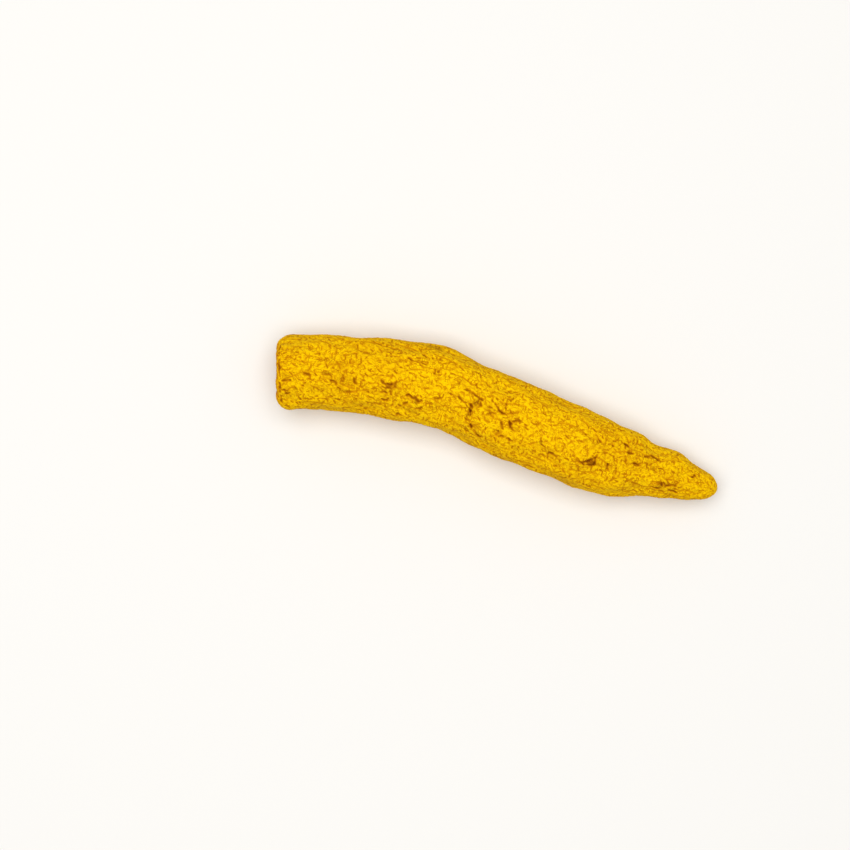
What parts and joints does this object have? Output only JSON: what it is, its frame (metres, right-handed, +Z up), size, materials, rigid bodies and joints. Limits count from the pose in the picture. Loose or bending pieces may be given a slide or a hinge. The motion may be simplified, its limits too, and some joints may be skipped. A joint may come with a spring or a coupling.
{
  "type": "turmeric root",
  "caption": "Dried turmeric finger: a gently bent, wrinkled rhizome shoot with a blunt cut end, a tapered tip and round bud scars.",
  "frame": {"origin": "on the resting plane, below the middle of the finger's bounding box", "axes": "+X along the finger from the cut end to the tip, +Y to the outside of its bend, +Z up from the resting plane"},
  "size_m": [0.0695, 0.0156, 0.0114],
  "materials": {
    "polished_skin": "dried turmeric skin, rubbed smooth and covered in its own yellow powder, matt"
  },
  "bodies": {
    "root": {"rhizome_finger": "polished_skin"}
  },
  "joints": []
}
